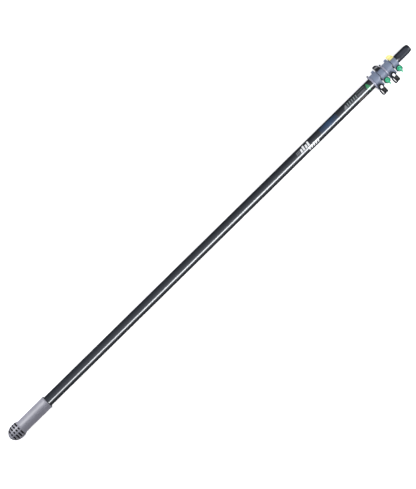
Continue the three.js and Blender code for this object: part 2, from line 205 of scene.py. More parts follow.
def studio_floor():
    """A wide matt sheet at the frame's lowest point, which also glows faintly."""
    material, tree = new_material("matt_backlit_acrylic")
    sheet = add_node(
        tree,
        "BsdfPrincipled",
        {"Base Color": linear("#f8f8f9"), "Roughness": 1.0, "Specular IOR Level": 0.0,
         "Emission Color": linear("#ffffff"), "Emission Strength": FLOOR_GLOW},
    )
    finish_material(material, sheet)
    half, level = FLOOR_HALF, cad_box[0].z
    corners = [(-half, -half, level), (half, -half, level), (half, half, level), (-half, half, level)]
    mesh = bpy.data.meshes.new("floor")
    mesh.from_pydata(corners, [], [(0, 1, 2, 3)])
    mesh.materials.append(material)
    floor = add_object("floor", mesh)
    floor.visible_glossy = False


def soft_box(name, x, tilt, distance, size, power, lean=0):
    """A rectangular lamp beside the pole, tilted some degrees from straight above it and aimed at it.
    lean turns it about its middle, so that its head end comes nearer to the pole."""
    tilt = math.radians(tilt)
    data = bpy.data.lights.new(name, "AREA")
    data.shape = "RECTANGLE"
    data.size, data.size_y = size
    data.energy = power
    lamp = add_object(name, data)
    from_pole = Vector((0, math.sin(tilt), math.cos(tilt)))
    lamp.rotation_mode = "ZYX"
    lamp.rotation_euler = (-tilt, math.radians(lean), 0)
    lamp.location = Vector((x, NOSE[1], NOSE[2])) + from_pole * distance
    return lamp


def light_linked(lamp, pieces, state):
    """Makes a lamp light only those pieces (INCLUDE) or all but those pieces (EXCLUDE)."""
    receivers = bpy.data.collections.new(f"{lamp.name}_receivers")
    for piece in pieces:
        receivers.objects.link(piece)
    for receiver in receivers.collection_objects:
        receiver.light_linking.link_state = state
    lamp.light_linking.receiver_collection = receivers


def studio_sky():
    """A pale sky that looks white behind the pole. Glossy surfaces see it bright overhead, and dim
    towards the horizon and below."""
    world = bpy.data.worlds.new("studio_sky")
    bpy.context.scene.world = world
    world.use_nodes = True
    tree = world.node_tree
    tree.nodes.clear()
    direction = add_node(tree, "TexCoord")
    height = add_node(tree, "SeparateXYZ", {0: direction.outputs["Generated"]})
    dim = add_node(tree, "ValToRGB", {0: height.outputs[2]})
    dim.color_ramp.elements[0].position = 0.1
    dim.color_ramp.elements[0].color = (0.04, 0.04, 0.045, 1)
    dim.color_ramp.elements[1].position = 0.95
    dim.color_ramp.elements[1].color = (0.46, 0.49, 0.56, 1)
    reflected = add_node(tree, "Background", {0: dim.outputs[0], 1: 1.0})
    diffuse = add_node(tree, "Background", {0: linear("#f7f8fa"), 1: SKY_POWER})
    seen = add_node(tree, "Background", {0: linear("#ffffff"), 1: 1.0})
    path = add_node(tree, "LightPath")
    light = add_node(
        tree,
        "MixShader",
        {0: path.outputs["Is Glossy Ray"], 1: diffuse.outputs[0], 2: reflected.outputs[0]},
    )
    sky = add_node(
        tree, "MixShader", {0: path.outputs["Is Camera Ray"], 1: light.outputs[0], 2: seen.outputs[0]}
    )
    add_node(tree, "OutputWorld", {0: sky.outputs[0]})


studio_floor()
foot_box = soft_box("foot_box", **FOOT_BOX)
head_box = soft_box("head_box", **HEAD_BOX)
foot_box.visible_glossy = head_box.visible_glossy = False
line_box = soft_box("line_box", **LINE_BOX)
line_box.data.color = (0.93, 0.96, 1.0)
bolt_box = soft_box("bolt_box", **BOLT_BOX)
cap_box = soft_box("cap_box", **CAP_BOX)
line_box.visible_diffuse = bolt_box.visible_diffuse = cap_box.visible_diffuse = False
studio_sky()
print("studio: floor, sky and five soft boxes")

# %% [markdown]
# ## Tools for shapes
# Nearly every surface here is a grid: a row of points repeated along or round something. The corner
# numbers of all its faces are worked out as one array. Sharp corners of an outline are rounded with
# a small curve, because no moulded or turned edge is truly sharp, and round edges catch the light.

# %% Grids, outlines and turned surfaces


def grid_faces(rows, columns, closed_rows=False):
    """Quads between neighbours of a grid numbered row by row: (i, j), (i, j+1), (i+1, j+1), (i+1, j).
    Columns always close on themselves; rows do if closed_rows."""
    i = np.arange(rows if closed_rows else rows - 1)[:, None]
    j = np.arange(columns)[None, :]
    i_next, j_next = (i + 1) % rows, (j + 1) % columns
    corners = (i * columns + j, i * columns + j_next, i_next * columns + j_next, i_next * columns + j)
    return np.stack(np.broadcast_arrays(*corners), axis=-1)


def rounded(outline, radius, steps=4, closed=True):
    """Rounds the corners of an outline. Each corner p becomes the curve
    (1-t)^2 a + 2t(1-t) p + t^2 b, where a and b lie radius before and after it, or half an edge."""
    points = np.asarray(outline, float)
    before, after = np.roll(points, 1, axis=0), np.roll(points, -1, axis=0)
    if not closed:
        before[0], after[-1] = points[0], points[-1]
    to_before, to_after = before - points, after - points
    length_before = np.linalg.norm(to_before, axis=1, keepdims=True)
    length_after = np.linalg.norm(to_after, axis=1, keepdims=True)
    reach = np.broadcast_to(np.asarray(radius, float).reshape(-1, 1), length_before.shape)
    cut_before = np.minimum(reach, length_before / 2) / np.maximum(length_before, 1e-9)
    cut_after = np.minimum(reach, length_after / 2) / np.maximum(length_after, 1e-9)
    a = (points + to_before * cut_before)[:, None]
    b = (points + to_after * cut_after)[:, None]
    t = np.linspace(0, 1, steps + 1)[None, :, None]
    curve = (1 - t) ** 2 * a + 2 * t * (1 - t) * points[:, None] + t**2 * b
    return curve.reshape(-1, 2)


def turned(profile, segments=96, at=(0, 0), axis="x"):
    """A profile of (along, radius) points turned round a line parallel to an axis:
    across = radius cos a, radius sin a. at is where the line crosses the other two axes."""
    along, radius = np.asarray(profile, float).T
    angle = np.linspace(0, 2 * np.pi, segments, endpoint=False)[None, :]
    u = radius[:, None] * np.cos(angle) + at[0]
    v = radius[:, None] * np.sin(angle) + at[1]
    w = np.broadcast_to(along[:, None], u.shape)
    order = {"x": (w, u, v), "y": (v, w, u), "z": (u, v, w)}[axis]
    return np.stack(order, axis=-1)


def circle(x, y, radius, segments=48):
    """Outline of a circle, as x + r cos a, y + r sin a."""
    angle = np.linspace(0, 2 * np.pi, segments, endpoint=False)
    return np.stack([x + radius * np.cos(angle), y + radius * np.sin(angle)], axis=-1)


def rectangle(x0, x1, y0, y1):
    """Outline of a rectangle, counterclockwise."""
    return np.array([(x0, y0), (x1, y0), (x1, y1), (x0, y1)], float)


print("a square with rounded corners has", len(rounded(rectangle(0, 9, 0, 9), 2)), "points")

# %% [markdown]
# ## From points to a piece
# Every piece is made the same way: its points go into a mesh at the origin, its seams are merged, its
# faces are turned outwards, and it gets a material and the body it moves with, and the CAD nodes that
# it stands for are hidden. Doing this in one place means that no piece can miss a step.

# %% Turning points and faces into pieces


def clean_mesh(mesh, merge):
    """Merges points closer than merge, which closes poles and seams, and turns all faces outwards."""
    work = bmesh.new()
    work.from_mesh(mesh)
    bmesh.ops.remove_doubles(work, verts=work.verts, dist=merge)
    bmesh.ops.dissolve_degenerate(work, edges=work.edges, dist=merge)
    bmesh.ops.recalc_face_normals(work, faces=work.faces)
    work.to_mesh(mesh)
    work.free()


def face_centres(mesh):
    """The middle of each face in pole coordinates."""
    middles = np.empty(len(mesh.polygons) * 3)
    mesh.polygons.foreach_get("center", middles)
    return (middles.reshape(-1, 3) - NOSE) / MM


def dress(piece, material, body, stands_for=()):
    """Gives a piece its material and the body it rides on, and hides the CAD nodes it stands for."""
    piece.data.materials.clear()
    piece.data.materials.append(material)
    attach(piece, body)
    if stands_for:
        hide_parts(*stands_for)
    return piece


def new_piece(name, points, faces, sharp_angle=40):
    """A mesh object at the origin from points in pole coordinates. Edges sharper than the angle stay
    crisp; the rest is smooth."""
    mesh = bpy.data.meshes.new(name)
    mesh.from_pydata(to_world(points.reshape(-1, 3)).tolist(), [], faces.reshape(-1, 4).tolist())
    clean_mesh(mesh, 1e-6)
    mesh.shade_smooth()
    mesh.set_sharp_from_angle(angle=math.radians(sharp_angle))
    return add_object(name, mesh)


def turned_piece(name, profile, at=(0, 0), axis="x", segments=96, ring=False, sharp_angle=40):
    """A closed piece from a turned profile: it starts and ends on the axis, or is a ring."""
    points = turned(profile, segments, at, axis)
    faces = grid_faces(len(profile), segments, closed_rows=ring)
    return new_piece(name, points, faces, sharp_angle)


print(len(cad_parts), "CAD nodes to stand for or to dress")


# %% [markdown]
# ## Moulded parts are fused
# A clamp or a lever is one moulding with bosses, ears, slots and holes that run into each other with
# small fillets. It could be modelled face by face with bevels, but bevels fail where such shapes meet.
# So it is built as a toolmaker thinks of it: simple solids are added, others are cut away. The result
# is then remeshed in even small cells and relaxed a little, which rounds every edge and fills every
# inner corner, as a mould does. The work is done in millimetres, then moved into place.

# %% Solids to add and cut


def slab(outline, low, high, axis="z"):
    """A flat outline carried straight along an axis from low to high, with a cap at each end."""
    outline = np.asarray(outline, float)
    count = len(outline)
    u, v = np.tile(outline, (2, 1)).T
    w = np.repeat([low, high], count).astype(float)
    points = np.stack({"x": (w, u, v), "y": (v, w, u), "z": (u, v, w)}[axis], axis=-1)
    sides = grid_faces(2, count).reshape(-1, 4).tolist()
    return points, [*sides, list(range(count))[::-1], list(range(count, 2 * count))]


def box(x, y, z):
    """A block between pairs of limits."""
    return slab(rectangle(*x, *y), *z)


def rod(at, radius, low, high, axis="z", segments=48):
    """A round bar along an axis; at is where it crosses the other two, in the order that slab uses."""
    return slab(circle(*at, radius, segments), low, high, axis)


def turned_solid(profile, ring=False, segments=96, **place):
    """A turned profile as points and faces, for fusing."""
    points = turned(profile, segments, **place).reshape(-1, 3)
    return points, grid_faces(len(profile), segments, closed_rows=ring).reshape(-1, 4).tolist()


def scratch_object(solid):
    """A temporary object, in millimetres, from points and faces."""
    points, faces = solid
    mesh = bpy.data.meshes.new("scratch")
    mesh.from_pydata(np.asarray(points).tolist(), [], faces)
    clean_mesh(mesh, 1e-4)
    return add_object("scratch", mesh)


def fused(name, added, removed=(), cell=0.5, relax=4):
    """Joins the added solids, cuts away the removed ones, remeshes in cells of that many millimetres
    and relaxes the surface. Returns a piece in the frame, with its place in its mesh."""
    base = scratch_object(added[0])
    tools = [(scratch_object(solid), "UNION") for solid in added[1:]]
    tools += [(scratch_object(solid), "DIFFERENCE") for solid in removed]
    for tool, operation in tools:
        boolean = base.modifiers.new(operation, "BOOLEAN")
        boolean.object = tool
        boolean.operation = operation
        boolean.solver = "MANIFOLD"
    remesh = base.modifiers.new("cells", "REMESH")
    remesh.mode = "VOXEL"
    remesh.voxel_size = cell
    smooth = base.modifiers.new("relax", "SMOOTH")
    smooth.factor = 0.5
    smooth.iterations = relax
    graph = bpy.context.evaluated_depsgraph_get()
    mesh = bpy.data.meshes.new_from_object(base.evaluated_get(graph))
    for scratch in [base, *[tool for tool, _ in tools]]:
        bpy.data.objects.remove(scratch)
    points = np.empty(len(mesh.vertices) * 3, np.float32)
    mesh.vertices.foreach_get("co", points)
    mesh.vertices.foreach_set("co", to_world(points.reshape(-1, 3)).astype(np.float32).ravel())
    mesh.name = name
    mesh.shade_smooth()
    print(f"{name}: {len(mesh.polygons)} faces")
    return add_object(name, mesh)

# %% [markdown]
# ## Moulded plastics
# Glass-filled nylon comes out of its mould with a fine spark-eroded grain, which gives the clamps their
# soft satin look, and polished tools leave a smoother skin that shines on levers and knobs. Both are
# made with one recipe: a body colour that varies a little, a fine noise for the grain, and a slow, low
# noise that breaks up the shine, as shrinkage does on real mouldings.

# %% Moulded nylon


def moulded_nylon(
    name, hex_colour, roughness, grain_mm=0.35, grain_depth_mm=0.02, drift=0.06, specular=0.5
):
    """Nylon, IOR 1.53. The grain is a noise of that size in millimetres; drift is how far the colour
    and the roughness wander over about 12 mm."""
    material, tree = new_material(name)
    place = add_node(tree, "TexCoord").outputs["Object"]
    slow = add_node(tree, "TexNoise", {"Vector": place, "Scale": 1 / 0.012, "Detail": 3.0})
    colour = np.array(linear(hex_colour))
    light = (*(colour[:3] * (1 + drift)).tolist(), 1)
    dark = (*(colour[:3] * (1 - drift)).tolist(), 1)
    tones = {"Factor": slow.outputs[0], COLOUR_A: dark, COLOUR_B: light}
    body = add_node(tree, "Mix", tones, data_type="RGBA")
    shine = add_node(
        tree,
        "MapRange",
        {"Value": slow.outputs[0], "From Min": 0.3, "From Max": 0.7, "To Min": roughness - drift,
         "To Max": roughness + drift},
    )
    fine = add_node(tree, "TexNoise", {"Vector": place, "Scale": 1000 / grain_mm, "Detail": 2.0})
    relief = add_node(
        tree, "Bump", {"Height": fine.outputs[0], "Distance": grain_depth_mm * MM, "Strength": 1.0}
    )
    shader = add_node(
        tree,
        "BsdfPrincipled",
        {"Base Color": body.outputs[MIXED], "Roughness": shine.outputs[0], "IOR": 1.53,
         "Normal": relief.outputs[0], "Specular IOR Level": specular},
    )
    return finish_material(material, shader)


clamp_nylon = moulded_nylon(
    "spark_eroded_grey_nylon", "#737d93", 0.5, grain_mm=0.5, grain_depth_mm=0.04, specular=0.25
)
# The lip takes a paler, slightly smoother grey than the clamp body.
lip_nylon = moulded_nylon("pale_smooth_grey_lip_nylon", "#9092a6", 0.4, drift=0.04)
lever_nylon = moulded_nylon("polished_black_nylon", "#0c0c0e", 0.34, drift=0.04, specular=0.3)
spigot_nylon = moulded_nylon("satin_black_nylon", "#1f232e", 0.42, drift=0.05, specular=0.35)
knob_nylon = moulded_nylon("polished_green_nylon", "#28ab7c", 0.34, drift=0.05)
clip_yellow = moulded_nylon("polished_yellow_nylon", "#f1e692", 0.36, drift=0.04)
clip_black = moulded_nylon("satin_black_clip_nylon", "#26272b", 0.36, drift=0.05)
# Matt near-black nylon for the base plug: its real black, and painted shade where its core shows behind
# the cap's vents.
plug_nylon_and_painted_shade = moulded_nylon("matt_black_nylon_and_painted_shade", "#101012", 0.75, drift=0.05, specular=0.15)
print("eight nylons")

# %% [markdown]
# ## Rubber of the end cap
# The cap is compression-moulded rubber: dull, a touch lighter where handling has dusted it, with a
# pebbled skin that gives grip. Two sizes of noise make the pebbles, and a slow one the dusting.

# %% Moulded rubber


def moulded_rubber(name, hex_colour, hex_dust):
    """Rubber, IOR 1.52, roughness 0.5. Pebbles 1.1 mm apart, drawn a little coarse to show."""
    material, tree = new_material(name)
    place = add_node(tree, "TexCoord").outputs["Object"]
    dusting = add_node(tree, "TexNoise", {"Vector": place, "Scale": 1 / 0.03, "Detail": 4.0})
    tones = {"Factor": dusting.outputs[0], COLOUR_A: linear(hex_colour), COLOUR_B: linear(hex_dust)}
    body = add_node(tree, "Mix", tones, data_type="RGBA")
    pebbles = add_node(tree, "TexVoronoi", {"Vector": place, "Scale": 1000 / 1.1}, feature="SMOOTH_F1")
    fine = add_node(tree, "TexNoise", {"Vector": place, "Scale": 1000 / 0.4, "Detail": 2.0})
    skin = add_node(tree, "Math", {0: pebbles.outputs[0], 1: fine.outputs[0]}, operation="ADD")
    relief = add_node(tree, "Bump", {"Height": skin.outputs[0], "Distance": 0.12 * MM, "Strength": 1.0})
    shader = add_node(
        tree,
        "BsdfPrincipled",
        {"Base Color": body.outputs[MIXED], "Roughness": 0.5, "IOR": 1.52, "Normal": relief.outputs[0],
         "Specular IOR Level": 0.4},
    )
    return finish_material(material, shader)


cap_rubber = moulded_rubber("compression_moulded_rubber", "#6a6a73", "#7c7c87")
# The rubber for the cap's inside is near-black: painted shade for the dark hollow of the bulb seen
# through the vents.
cap_inside_painted_shade = moulded_rubber("painted_shade_black_rubber", "#121214", "#18181a")
print("two rubbers, for the cap's outside and its inside")

# %% [markdown]
# ## Lacquered carbon fibre
# The tubes are woven carbon fibre in resin, ground round and sprayed with clear lacquer. Under the
# lacquer lies a 2 by 2 twill: each 2 mm tow passes over two and under two, one step further along in
# each row, so fine diagonals run round the tube. The lacquer on top is smooth and gives the bright
# line.

# %% Carbon tube under lacquer
TOW_MM = 2.0


def lacquered_carbon(name, hex_warp, hex_weft):
    """Twill from the tube's own map, u along and v round it, both counted in tows: a square shows the
    warp where floor(u) + floor(v), divided by 4, leaves less than 2. Coat IOR 1.5, roughness 0.07."""
    material, tree = new_material(name)
    uv = add_node(tree, "UVMap", uv_map="tows")
    split = add_node(tree, "SeparateXYZ", {0: uv.outputs[0]})
    along = add_node(tree, "Math", {0: split.outputs[0]}, operation="FLOOR")
    around = add_node(tree, "Math", {0: split.outputs[1]}, operation="FLOOR")
    step = add_node(tree, "Math", {0: along.outputs[0], 1: around.outputs[0]}, operation="ADD")
    quarter = add_node(tree, "Math", {0: step.outputs[0], 1: 4.0}, operation="FLOORED_MODULO")
    warp = add_node(tree, "Math", {0: quarter.outputs[0], 1: 1.5}, operation="LESS_THAN")
    tones = {"Factor": warp.outputs[0], COLOUR_A: linear(hex_weft), COLOUR_B: linear(hex_warp)}
    body = add_node(tree, "Mix", tones, data_type="RGBA")
    strands = add_node(tree, "TexNoise", {"Vector": uv.outputs[0], "Scale": 6.0, "Detail": 2.0})
    shine = add_node(
        tree, "MapRange", {"Value": strands.outputs[0], "To Min": 0.3, "To Max": 0.5}
    )
    relief = add_node(tree, "Bump", {"Height": warp.outputs[0], "Distance": 0.05 * MM, "Strength": 0.3})
    shader = add_node(
        tree,
        "BsdfPrincipled",
        {"Base Color": body.outputs[MIXED], "Roughness": shine.outputs[0], "IOR": 1.5,
         "Normal": relief.outputs[0], "Coat Weight": 1.0, "Coat Roughness": 0.07, "Coat IOR": 1.5},
    )
    return finish_material(material, shader)


tube_carbon = lacquered_carbon("lacquered_carbon_twill", "#1c2026", "#14171c")
print("carbon twill with tows of", TOW_MM, "mm")

# %% [markdown]
# ## Plated steel and printed film
# The lever bolts, nuts and washers are zinc plated and bright. Plating leaves a very fine cloudiness
# in the shine, made here by a noise on the roughness. The marks on the tube are thin printed film under
# the same lacquer, so they share its gloss.

# %% Steel and film


def plated_steel(name, hex_colour, roughness):
    """Bright zinc on steel: fully metallic, with a cloudy roughness over about 2 mm."""
    material, tree = new_material(name)
    place = add_node(tree, "TexCoord").outputs["Object"]
    cloud = add_node(tree, "TexNoise", {"Vector": place, "Scale": 1 / 0.002, "Detail": 3.0})
    shine = add_node(
        tree,
        "MapRange",
        {"Value": cloud.outputs[0], "To Min": roughness - 0.06, "To Max": roughness + 0.08},
    )
    shader = add_node(
        tree,
        "BsdfPrincipled",
        {"Base Color": linear(hex_colour), "Metallic": 1.0, "Roughness": shine.outputs[0]},
    )
    return finish_material(material, shader)


def printed_film(name, hex_colour):
    """Screen-printed vinyl film: an even colour with a faint halftone speckle 0.6 mm across."""
    material, tree = new_material(name)
    place = add_node(tree, "TexCoord").outputs["Object"]
    speckle = add_node(tree, "TexNoise", {"Vector": place, "Scale": 1000 / 0.6, "Detail": 1.0})
    colour = np.array(linear(hex_colour))
    faded = (*(colour[:3] * 0.82).tolist(), 1)
    tones = {"Factor": speckle.outputs[0], COLOUR_A: faded, COLOUR_B: colour.tolist()}
    ink = add_node(tree, "Mix", tones, data_type="RGBA")
    shader = add_node(
        tree,
        "BsdfPrincipled",
        {"Base Color": ink.outputs[MIXED], "Roughness": 0.35, "Coat Weight": 1.0,
         "Coat Roughness": 0.05},
    )
    return finish_material(material, shader)


bolt_steel = plated_steel("bright_zinc_plated_steel", "#f0f0f3", 0.3)
film = {
    "white": printed_film("white_printed_film", "#e4e6e8"),
    "grey": printed_film("grey_printed_film", "#7d7f84"),
    "silver": printed_film("silver_printed_film", "#8b9496"),
    "tan": printed_film("tan_printed_film", "#645d5a"),
    "blue": printed_film("blue_printed_film", "#1c3c5e"),
    "green": printed_film("green_printed_film", "#2b8a55"),
}
print("steel and", len(film), "films")

# %% [markdown]
# ## End cap: a vented rubber bulb on a long sleeve
# The cap stops the pole's foot from slipping or cracking on the ground, and its bulb is slotted so that
# it gives a little and lets water out. The slots could be cut out with booleans, but those leave hard
# edges in soft rubber. So the cap is one surface turned round the pole, with cells left out where the
# slots are. Solidify gives it its wall, and Subdivision Surface rounds the slots' ends.

# %% Vented end cap
cap_high = limits("end_cap")[1]
BULB_R = cap_high[2]
CAP_END = cap_high[0]
SLEEVE_R = 21.6
NOSE_RISE = 32.0
BULB_END, NECK_END = 42.0, 54.0
RIM_X, RIM_HEIGHT, RIM_WIDTH = CAP_END - 3, 1.6, 1.5
CAP_WALL = 3.7
CAP_CREASE = 0.55
VENT_XS = np.array([14.5, 25.0, 35.0, 44.5])
VENT_HALF = 2.7
VENT_START = -16.3
VENT_SPANS = (18.0, 10.0, 52.0, 10.0)
VENT_CELLS = (4, 2, 8, 2)
OPEN_SPANS = (True, False, True, False)
QUARTERS = 4


def cap_radius(x):
    """Outside radius at x: a quarter ellipse up the nose, the bulb, a cosine ease down to the sleeve,
    and a small bell-shaped bead near the mouth."""
    nose = BULB_R * np.sqrt(np.clip(1 - ((NOSE_RISE - x) / NOSE_RISE) ** 2, 0, 1))
    fall = np.clip((x - BULB_END) / (NECK_END - BULB_END), 0, 1)
    sleeve = BULB_R + (SLEEVE_R - BULB_R) * (1 - np.cos(fall * np.pi)) / 2
    bead = RIM_HEIGHT * np.exp(-(((x - RIM_X) / RIM_WIDTH) ** 2))
    return np.where(x < NOSE_RISE, nose, sleeve) + bead


def vented_cap():
    """Rows are stations along the pole; columns are directions round it. Directions are counted from
    straight up towards the levers, so y = -r sin a and z = r cos a. A cell goes where a vent is."""
    turn = np.linspace(0, np.arccos(1 - (VENT_XS[0] - VENT_HALF) / NOSE_RISE), 7)
    nose = NOSE_RISE * (1 - np.cos(turn[:-1]))
    edges = np.stack([VENT_XS - VENT_HALF, VENT_XS, VENT_XS + VENT_HALF], axis=1)
    ribs = (edges[:-1, 2] + edges[1:, 0]) / 2
    sleeve = [50, NECK_END, 60, 85, 115, 145, RIM_X - 5, RIM_X - 2, RIM_X, RIM_X + 1.5, CAP_END]
    x = np.sort(np.concatenate([nose, edges.ravel(), ribs, sleeve]))
    cells = np.repeat(np.array(VENT_SPANS) / np.array(VENT_CELLS), VENT_CELLS)
    in_vent = np.tile(np.repeat(OPEN_SPANS, VENT_CELLS), QUARTERS)
    angle = np.radians(VENT_START + np.concatenate([[0], np.cumsum(np.tile(cells, QUARTERS))[:-1]]))
    radius = cap_radius(x)[:, None]
    spread = np.broadcast_to(x[:, None], (len(x), len(angle)))
    points = np.stack([spread, -radius * np.sin(angle), radius * np.cos(angle)], axis=-1)
    middle = (x[1:] + x[:-1]) / 2
    in_ring = (np.abs(middle[:, None] - VENT_XS) < VENT_HALF).any(axis=1)
    keep = ~(in_ring[:, None] & in_vent[None, :])
    return new_piece("vented_end_cap", points, grid_faces(len(x), len(angle))[keep], sharp_angle=180)


end_cap = vented_cap()
wall = end_cap.modifiers.new("wall", "SOLIDIFY")
wall.thickness = CAP_WALL * MM
wall.offset = -1
# The wall's inner skin and its rims take the second material, the near-black painted shade.
wall.material_offset = wall.material_offset_rim = 1
wall.edge_crease_outer = CAP_CREASE
round_off = end_cap.modifiers.new("round_off", "SUBSURF")
round_off.levels = round_off.render_levels = 2
dress(end_cap, cap_rubber, "base_section", ["end_cap"])
end_cap.data.materials.append(cap_inside_painted_shade)
light_linked(cap_box, [end_cap], "INCLUDE")
light_linked(line_box, [end_cap], "EXCLUDE")
vents = len(VENT_XS) * sum(OPEN_SPANS) * QUARTERS
print("end cap:", len(end_cap.data.polygons), "cells,", vents, "vents")

# %% [markdown]
# ## Tubes
# The tubes slide in each other with half a millimetre to spare. Each is a ring-shaped profile turned
# round the centre line, with its edges broken. The weave has to follow the surface, so each tube has
# its own map, which counts carbon tows along and round it. The count round the tube is a whole number
# of twill repeats, so that the weave closes on itself.

# %% Three composite tubes
TWILL_REPEAT = 4
TUBE_WALL = 1.5
EDGE_MM = 0.35


def map_tows(piece, radius):
    """Writes the map: u = x / tow, v = angle / whole turn x tows round the tube. A face's corners take
    the angle nearest to that of the face's centre, so no face spans the seam."""
    mesh = piece.data
    points = np.empty(len(mesh.vertices) * 3)
    mesh.vertices.foreach_get("co", points)
    x, y, z = ((points.reshape(-1, 3) - NOSE) / MM).T
    corner_point = np.empty(len(mesh.loops), int)
    mesh.loops.foreach_get("vertex_index", corner_point)
    sizes = np.empty(len(mesh.polygons), int)
    mesh.polygons.foreach_get("loop_total", sizes)
    middles = face_centres(mesh)
    face_angle = np.repeat(np.arctan2(middles[:, 2], middles[:, 1]), sizes)
    corner_angle = np.arctan2(z, y)[corner_point]
    difference = (corner_angle - face_angle + np.pi) % (2 * np.pi) - np.pi
    tows_round = round(2 * np.pi * radius / TOW_MM / TWILL_REPEAT) * TWILL_REPEAT
    v = (face_angle + difference) / (2 * np.pi) * tows_round
    layer = mesh.uv_layers.new(name="tows")
    layer.data.foreach_set("uv", np.stack([x[corner_point] / TOW_MM, v], axis=-1).ravel())


def composite_tube(node, body):
    """A tube where the CAD has it, with its mouth and foot edges rounded."""
    low, high = limits(node)
    radius = high[1]
    bore = radius - TUBE_WALL
    profile = rounded([(low[0], bore), (low[0], radius), (high[0], radius), (high[0], bore)], EDGE_MM)
    tube = turned_piece(f"composite_{node}", profile, ring=True, segments=128)
    map_tows(tube, radius)
    dress(tube, tube_carbon, body, [node])
    print(f"{node}: {2 * radius:.0f} mm round, {high[0] - low[0]:.0f} mm long")
    return radius


OUTER_R = composite_tube("outer_tube", "base_section")
MIDDLE_R = composite_tube("middle_tube", "middle_section")
INNER_R = composite_tube("inner_tube", "tip_section")

# %% [markdown]
# ## Printed marks
# A pole carries printed film near its first clamp. Here it is plain generic decoration: slanted bars,
# a fading band of stripes, fine lines and a lozenge. Each mark is a thin strip of film that lies on the
# tube: across its width it follows the round, angle = distance / radius.

# %% Film strips on the outer tube
FILM_MM = 0.06
UNDER_FILM_MM = 0.01
STRIP_POINTS = 9
BAR_SLANT = 2.5


def film_strips(strips):
    """Four-cornered strips as (x, width, from, to, slant): x runs along the tube, from and to are
    distances round it from straight up, and slant moves the strip's far end along x. A strip may also
    narrow: width can be a pair for its near and far end. Each is a small grid with a top and bottom."""
    count = STRIP_POINTS
    t = np.linspace(0, 1, count)
    rows = []
    for x, width, start, stop, slant in strips:
        near, far = np.broadcast_to(width, 2)
        half = (near + (far - near) * t) / 2
        across = start + (stop - start) * t
        middle = x + slant * t
        edges = np.stack([middle - half, middle + half], axis=0)
        rows.append((edges, across))
    points, faces, used = [], [], 0
    for edges, across in rows:
        for radius in (OUTER_R + UNDER_FILM_MM, OUTER_R + FILM_MM):
            angle = np.broadcast_to(across / OUTER_R, edges.shape)
            points.append(np.stack([edges, radius * np.sin(angle), radius * np.cos(angle)], axis=-1))
        lower = np.arange(count) + used
        ring = np.stack([lower, lower + count, lower + 3 * count, lower + 2 * count])
        loop = np.roll(ring, -1, axis=0)
        sides = np.stack([ring[:, :-1], ring[:, 1:], loop[:, 1:], loop[:, :-1]], axis=-1).reshape(-1, 4)
        faces += [*sides.tolist(), ring[:, 0].tolist(), ring[:, -1].tolist()]
        used += 4 * count
    return np.concatenate([part.reshape(-1, 3) for part in points]), faces


def print_marks(name, colour, strips):
    """One piece of film in one colour."""
    points, faces = film_strips(strips)
    mesh = bpy.data.meshes.new(name)
    mesh.from_pydata(to_world(points).tolist(), [], faces)
    clean_mesh(mesh, 1e-6)
    dress(add_object(name, mesh), film[colour], "base_section")
    print(f"{name}: {len(strips)} strips")


bold_bars = [(1283 + 10 * i, 6.5, -2, 10 + 4 * (i % 2), BAR_SLANT) for i in range(4)]
lower_bars = [(1308 + 9 * i, 5.5, -15, -4, BAR_SLANT) for i in range(5)]
late_bars = [(1488 + 9 * i, 3.0, 0, 12, BAR_SLANT) for i in range(5)]
top_line = [(1548, 34, 12.4, 13.6, 0)]
print_marks("white_marks", "white", bold_bars + lower_bars)
print_marks("silver_marks", "silver", late_bars + top_line)
shadow_bars = [(1265 + 5 * i, 2.4, 0, 11, BAR_SLANT) for i in range(3)]
wedge = [(1476, (14, 1), -1, 12, 6)]
fine_lines = [(1546, 30, 1.5 + 3 * i, 2.6 + 3 * i, 0) for i in range(2)]
low_lines = [(1539, 38 - 6 * i, -17.6 + 2.6 * i, -15.8 + 2.6 * i, 0) for i in range(3)]
print_marks("grey_marks", "grey", shadow_bars + wedge + fine_lines)
print_marks("tan_marks", "tan", low_lines)
stripe_at = np.arange(-8, 9)
stripe_widths = 4.3 - 0.33 * np.abs(stripe_at)
stripes = [(1404 + 4.4 * k, w, -5, 15, 0) for k, w in zip(stripe_at.tolist(), stripe_widths.tolist())]
print_marks("blue_marks", "blue", stripes)
lozenge = [(1573, (3, 14), -13, 0, 0), (1573, (14, 3), 0, 13, 0)]
print_marks("green_marks", "green", lozenge)

# %% [markdown]
# ## Tool spigot
# The spigot is the black nylon end that tools push onto: a straight stub with a slight taper and a
# well-rounded nose, and a shallow flat sunk into its top and bottom for a tool's catch. A cut would
# leave sharp edges that a moulding doesn't have. So it is a turned surface whose top and bottom are
# pressed flat inside a rectangle with soft edges.

# %% Spigot with sunken flats
spigot_low, spigot_high = limits("tip_spigot")
SPIGOT_R = spigot_high[2]
SPIGOT_START = limits("inner_tube")[1][0] + 0.5
PLUG_R = INNER_R - TUBE_WALL - 0.3
TAPER_FROM = SPIGOT_START + 38.5
NOSE_R = 12.0
NOSE_ROUND = 6.0
FLAT_HALF = 7.5
FLAT_DEPTH = 1.6
FLAT_FROM, FLAT_TO = SPIGOT_START + 4, LENGTH - 9
SOFT_EDGE = 1.4
SPIGOT_SEGMENTS = 160


def smooth_step(t):
    """0 below 0, 1 above 1, and 3t^2 - 2t^3 between."""
    t = np.clip(t, 0, 1)
    return t * t * (3 - 2 * t)


